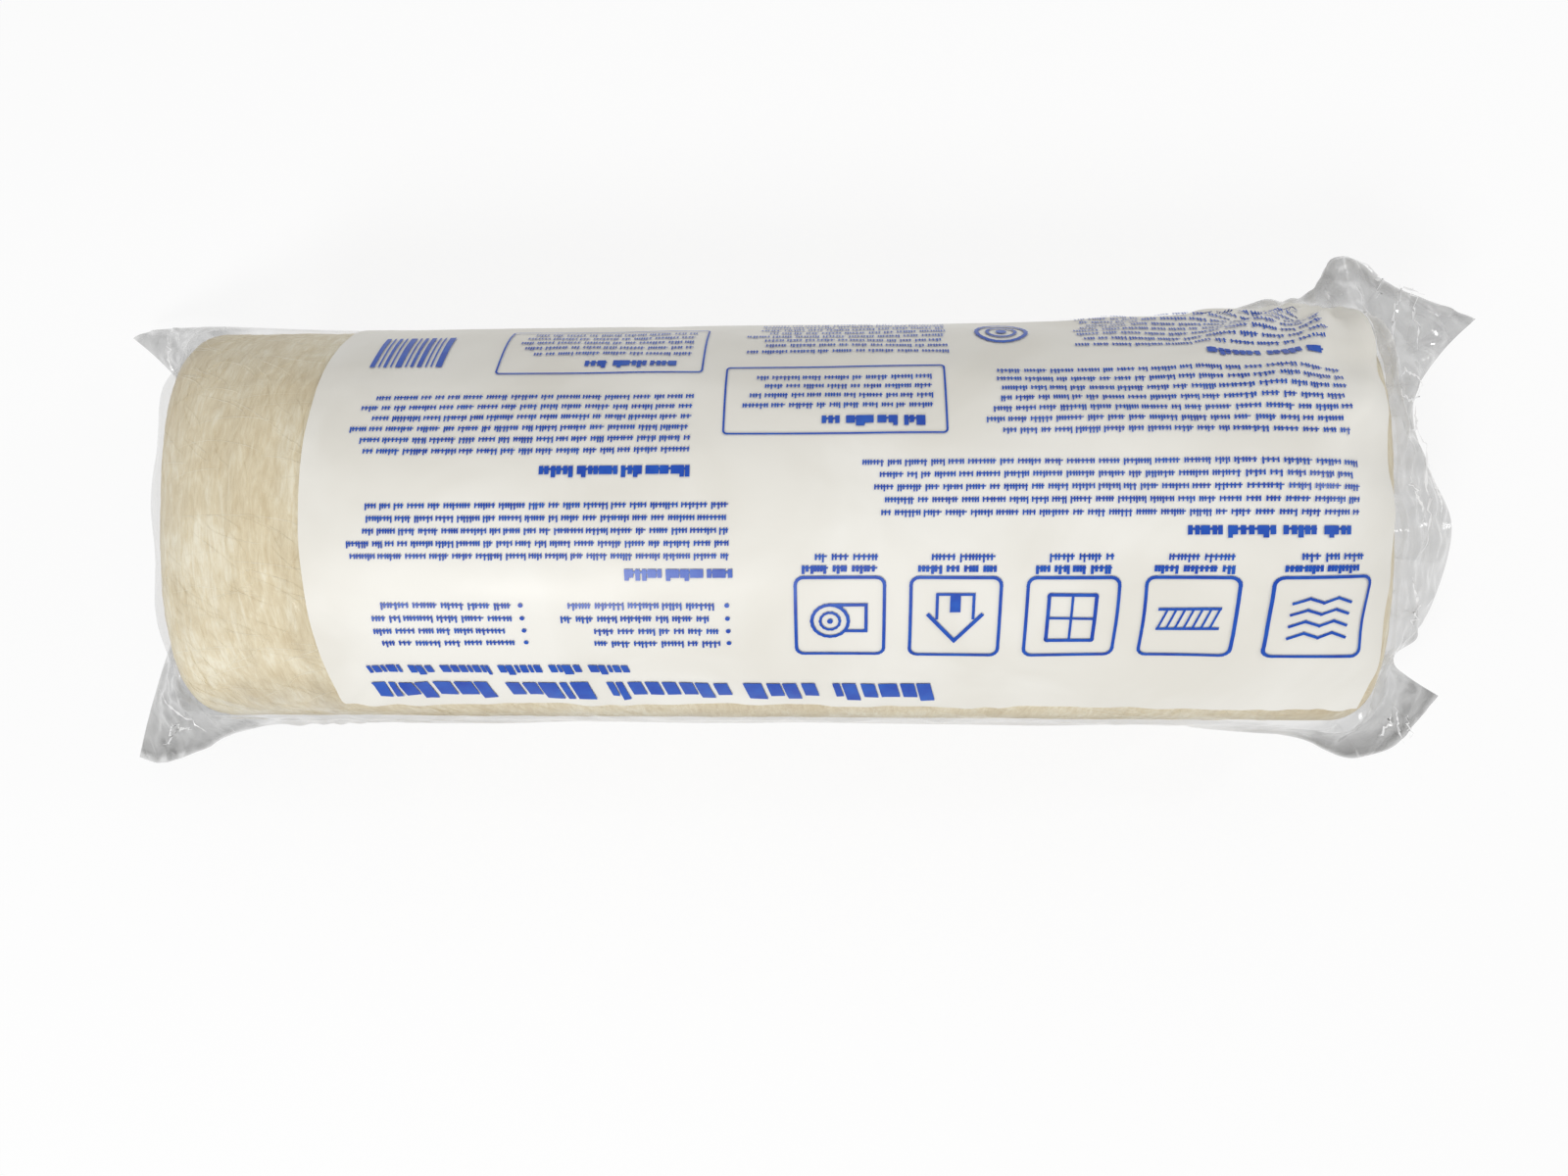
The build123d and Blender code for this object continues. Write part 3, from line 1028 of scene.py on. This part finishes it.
def title(left, near, size, counts):
    """Slanted blocks of uneven width and two heights, in groups."""
    x = left
    for count in counts:
        for _ in range(count):
            wide = size * pen.choice((0.26, 0.5, 0.5, 0.66))
            tall = size * (1.0 if pen.random() < 0.3 else 0.76)
            bar(x, x + wide, near + size - tall, near + size, title_lean)
            x += wide + size * 0.12
        x += size * 0.5
    return x


title_end = title(-126 * MM, -70 * MM, 9 * MM, (7, 5, 8, 4, 6))
title(-126 * MM, -57 * MM, 4.4 * MM, (5, 3, 7, 6, 4, 5))
print("title ends at", round(title_end / MM), "mm")

picture_size, picture_line = 27 * MM, 1.0 * MM
picture_near = -47 * MM
pictures_left, picture_pitch = 12 * MM, 35 * MM


def sketch(x, y, *lines):
    """Lines of a picture, each as its width and its points, in mm from the picture's middle."""
    for width, *points in lines:
        path([(x + across * MM, y + up * MM) for across, up in points], width * MM)


def house(x, y):
    sketch(x, y, (1.2, (-8, 1), (0, -8), (8, 1)), (0.9, (-5.5, 0), (-5.5, 8), (5.5, 8), (5.5, 0)))
    bar(x - 1.6 * MM, x + 1.6 * MM, y + 2 * MM, y + 8 * MM)


def pipe(x, y):
    sketch(x, y, (0.9, (-9, -3.4), (9, -3.4)), (0.9, (-9, 3.4), (9, 3.4)))
    sketch(x, y, *[(0.7, (wrap * 2.6 - 1.2, -3.4), (wrap * 2.6 + 1.2, 3.4)) for wrap in range(-3, 4)])


def window(x, y):
    frame_box(x - 7 * MM, x + 7 * MM, y - 8 * MM, y + 8 * MM, 1.1 * MM, 0.6 * MM)
    sketch(x, y, (0.8, (0, -8), (0, 8)), (0.8, (-7, 0), (7, 0)))


def little_roll(x, y):
    middle = (x - 3 * MM, y - 1 * MM)
    circle(middle, 5.6 * MM, 1.0 * MM)
    circle(middle, 3.0 * MM, 0.8 * MM, 14)
    disc(middle, 0.9 * MM)
    sketch(x, y, (1.0, (-3, 4.6), (8, 4.6)), (1.0, (1.6, -4.4), (8, -4.4)), (1.0, (8, 4.6), (8, -4.4)))


def layers(x, y):
    for low in (-7, -3, 1, 5):
        sketch(x, y, (0.9, (-8, low), (-4, low + 1.6), (0, low), (4, low + 1.6), (8, low)))


reach = picture_size / 2
for number, motif in enumerate((little_roll, house, window, pipe, layers)):
    x, y = pictures_left + reach + picture_pitch * number, picture_near + reach
    frame_box(x - reach, x + reach, y - reach, y + reach, picture_line)
    motif(x, y)

# %% [markdown]
# Paragraphs, lists and headings fill the rest of the panel.

# %% Draw the rows of writing
def rows_of_writing(left, right, near, count, pitch=3.9, height=1.9, ragged=9):
    """A paragraph that starts near and goes on towards the far side. All in mm."""
    for row in range(count):
        writing(left * MM + pen.uniform(0, ragged * MM), right * MM, (near + row * pitch) * MM, height * MM)


def list_rows(left, right, near, count, pitch=4.6, height=2.2):
    """Rows with a round mark at their head, which is at the right. All in mm."""
    for row in range(count):
        low = near + row * pitch
        writing((left + pen.uniform(0, 16)) * MM, (right - 4) * MM, low * MM, height * MM)
        disc(((right - 1) * MM, (low + height / 2) * MM), 0.75 * MM)


def heading(left, right, near, height=3.2):
    """A short heavy row, in mm."""
    writing(left * MM, right * MM, near * MM, height * MM, 0.9)


def box(left, right, near, far):
    """A plain frame round a paragraph, in mm."""
    frame_box(left * MM, right * MM, near * MM, far * MM, 0.6 * MM, 1.2 * MM)


# From the title towards the far side, in three columns
list_rows(-128, -72, -44, 4)
list_rows(-66, -8, -44, 4)
heading(-40, -8, -20)
rows_of_writing(-128, -8, -14, 5)
for column in range(5):
    x = pictures_left + picture_pitch * column
    above = picture_near + picture_size
    writing(x + 2 * MM, x + picture_size - 2 * MM, above + 1.8 * MM, 2.3 * MM, 0.8)
    writing(x + 6 * MM, x + picture_size - 2 * MM, above + 5.4 * MM, 2.3 * MM)
heading(128, 174, -7)
rows_of_writing(30, 174, -1, 5)
heading(-66, -20, 12)
rows_of_writing(-128, -20, 19, 6)
box(-10, 58, 25, 52)
heading(20, 54, 28.5)
rows_of_writing(-6, 54, 34.5, 4)
rows_of_writing(68, 174, 25, 7)
heading(140, 174, 56)
rows_of_writing(100, 174, 62.5, 9)
box(-84, -18, 50, 80)
heading(-56, -22, 53.5)
rows_of_writing(-80, -22, 60, 5)
rows_of_writing(-6, 60, 60, 8)

# %% [markdown]
# A block of stripes and a target are left to draw.

# %% Draw the plain marks
stripe_widths = (1.6, 0.6, 1.1, 0.6, 2.1, 0.6, 1.1, 1.6, 0.6, 0.6, 2.1)
x = -126 * MM
for wide in stripe_widths:
    bar(x, x + wide * MM, 54 * MM, 74 * MM)
    x += (wide + 1.1) * MM
target = (78 * MM, 74 * MM)
circle(target, 8 * MM, 1.3 * MM)
circle(target, 4.6 * MM, 1.0 * MM)
disc(target, 1.8 * MM)
print("ink shapes", len(ink.faces))

# %% [markdown]
# The flat ink is cut into small parts so that it can bend, and every point is put on the film.

# %% Lay the ink on the film
ink_lift = 0.4 * MM
for axis, size, low, high in ((0, 6 * MM, -0.14, 0.19), (1, 4 * MM, -0.075, 0.105)):
    normal = Vector((1, 0, 0)) if axis == 0 else Vector((0, 1, 0))
    for value in np.arange(low, high, size):
        parts = ink.verts[:] + ink.edges[:] + ink.faces[:]
        bmesh.ops.bisect_plane(ink, geom=parts, plane_co=normal * value, plane_no=normal, dist=1e-7)
flat_ink = np.array([vert.co[:2] for vert in ink.verts])
ink_rows = np.interp(flat_ink[:, 0], row_places, np.arange(len(row_places)))
ink_columns = np.interp(flat_ink[:, 1], column_places, np.arange(len(column_places)))
side = 1 if film_surface.outward[len(row_places) // 2, len(column_places) // 2, 2] > 0 else -1
laid_ink = film_surface.at(ink_rows, ink_columns, side * ink_lift)
for vert, point in zip(ink.verts, laid_ink):
    vert.co = point
for face in ink.faces:
    face.normal_update()


def ink_material():
    """Blue ink, a little uneven."""
    blue = Material("blue_ink")
    wear = blue.grain(blue.object_place(), (160, 160, 160), 4.0, 0.6)
    shade = blue.ramp([(0.3, paint(18, 88, 190)), (0.7, paint(4, 62, 172))], wear)
    return blue.surface({"Base Color": shade, "Roughness": 0.35})


print_piece = add_piece("panel_print", ink, [ink_material()])
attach(print_piece, "root")
print("print faces", len(print_piece.data.polygons))

# %% [markdown]
# ## Bright creases, painted as highlights
#
# Where film was folded sharply it stays white, and the white also paints the highlights that lie
# along the creases. Each crease is a thin ribbon that lies on the film's upper face and tapers to
# both ends. The places are seen from above, in millimetres.

# %% Lay the creases
crease_lines = [
    [(212, 52), (214, 62), (218, 73.5), (221, 80), (222, 84)], [(213, 48), (216, 50.6), (221, 49), (224, 46)],
    [(213, 44), (217, 40.5), (224, 43)], [(203.5, 91), (205.6, 88), (214.7, 85), (213, 80), (211.7, 78)],
    [(226, 90), (227.6, 86), (232.7, 85)], [(227, 84), (227, 73.4), (226, 65.7), (224, 59.5)],
    [(214, 29.7), (220, 30.7), (224.5, 39.4)],
    [(224.5, 37.7), (227.6, 27.6), (226.6, 14.8), (227.6, 3), (224, -7), (218.5, -12.3)],
    [(216, 14.8), (218, 11), (221, 4.4), (219, -0.8)], [(231, 21), (234.7, 12), (237.4, 2)],
    [(219.7, -64), (223.4, -71), (229.6, -79)], [(217.3, -76.4), (219, -67)], [(227.5, -68), (231.6, -76.4)],
    [(217, -19), (220.5, -26), (217.8, -36.6)],
    [(-241.5, 79), (-238, 73.5), (-236.7, 66.5), (-234.7, 57)], [(-239.5, -62), (-228, -68.4), (-217, -77.7)],
    [(-234.7, -75.4), (-245, -86)], [(-234, -76.6), (-224, -77.3)],
]
crease_width, crease_lift, crease_steps = 1.3 * MM, 0.5 * MM, 24
crease_margin = 1.2 * MM


def on_upper_film():
    """A function that puts a place seen from above on the film, pulled in where it is off it."""
    upper = film_grid[:, abs(column_places) <= flat_width / 2 + 1 * MM].reshape(-1, 3)
    tree = tree_of(upper * (1, 1, 0))

    def lay(x, y):
        near = tree.find_n((x, y, 0), 4)
        if near[0][2] > crease_margin:
            x, y = near[0][0][:2]
        return x, y, max(upper[number][2] for _, number, _ in near)

    return lay


def lay_creases():
    """One strip of quads for each crease line, tapered and laid on the film."""
    bm = bmesh.new()
    lay = on_upper_film()
    for line in crease_lines:
        corners = np.array([(x, y, 0) for x, y in line]) * MM
        points = along(corners, np.linspace(0, 1, crease_steps + 1))
        points = np.array([lay(x, y) for x, y, _ in points])
        points[:, 2] = np.convolve(np.pad(points[:, 2], 2, "edge"), np.ones(5) / 5, "valid") + crease_lift
        ahead = np.gradient(points[:, :2], axis=0)
        sideways = unit(np.column_stack([-ahead[:, 1], ahead[:, 0], np.zeros(len(points))]), 1e-9)
        verts = bmesh.ops.create_grid(bm, x_segments=crease_steps, y_segments=1, size=0.5)["verts"]
        for vert in verts:
            step = round((vert.co.x + 0.5) * crease_steps)
            taper = (1 - abs(step / crease_steps * 2 - 1) * 0.9) * (0.6 + 0.4 * math.sin(step * 1.9))
            vert.co = points[step] + sideways[step] * vert.co.y * crease_width * taper
    return bm


def crease_highlight_material():
    """White glossy film, laid along the creases as painted highlights."""
    crease = Material("painted_crease_highlight")
    return crease.surface({"Base Color": paint(250, 250, 250), "Roughness": 0.15, "Alpha": 0.85})


creases = add_piece("film_crease_highlights", lay_creases(), [crease_highlight_material()])
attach(creases, "root")
print("creases", len(crease_lines))

# %% [markdown]
# ## The studio
#
# The photograph is lit softly, a little more from the near side, on a white ground. A lamp over the
# near side, a weaker one over the far side and a bright world do the same here, and a small lamp
# draws crisp lights along the creases. The ground and the world look white to the camera only.

# %% Floor, world and lamps
ground_white, sky_light = 0.85, 0.46


def floor_material():
    ground = Material("white_ground")
    matt = {"Base Color": (0.9, 0.9, 0.9, 1), "Roughness": 0.9}
    surface = ground.node("ShaderNodeBsdfPrincipled", {}, matt)
    white = ground.node("ShaderNodeEmission", {}, {"Color": (1, 1, 1, 1), "Strength": 1.0})
    rays = ground.node("ShaderNodeLightPath")
    seen = Value(ground, rays.outputs["Is Camera Ray"]) + Value(ground, rays.outputs["Is Glossy Ray"])
    seen = seen + Value(ground, rays.outputs["Is Transmission Ray"])
    mix = {0: seen * ground_white, 1: surface.outputs[0], 2: white.outputs[0]}
    mixed = ground.node("ShaderNodeMixShader", {}, mix)
    return ground.show(mixed.outputs[0])


floor_bm = bmesh.new()
bmesh.ops.create_grid(floor_bm, x_segments=2, y_segments=2, size=3)
floor = add_piece("floor", floor_bm, [floor_material()])

world = bpy.data.worlds.new("studio")
world.use_nodes = True
bpy.context.scene.world = world
sky = world.node_tree
background = sky.nodes["Background"]
background.inputs["Color"].default_value = (1, 1, 1, 1)
camera_ray = sky.nodes.new("ShaderNodeLightPath").outputs["Is Camera Ray"]
strength = sky.nodes.new("ShaderNodeMath")
strength.operation = "MULTIPLY_ADD"
strength.inputs[1].default_value, strength.inputs[2].default_value = 1 - sky_light, sky_light
sky.links.new(camera_ray, strength.inputs[0])
sky.links.new(strength.outputs[0], background.inputs["Strength"])


def lamp(name, place, aim, size, power):
    """A square area lamp aimed at a point."""
    data = bpy.data.lights.new(name, "AREA")
    data.shape = "SQUARE"
    data.size = size
    data.energy = power
    light = bpy.data.objects.new(name, data)
    light.location = place
    light.rotation_euler = (Vector(aim) - Vector(place)).to_track_quat("-Z", "Y").to_euler()
    bpy.context.scene.collection.objects.link(light)


lamp("over_the_near_side", (-0.35, -0.8, 1.15), (0, 0, 0.05), 0.4, 9)
lamp("over_the_far_side", (0.3, 0.9, 1.2), (0, 0, 0.05), 0.8, 2.5)
lamp("crease_light", (1.1, 0.35, 0.9), (0.1, 0, 0.05), 0.15, 2.2)
bpy.context.scene.view_settings.view_transform = "Standard"
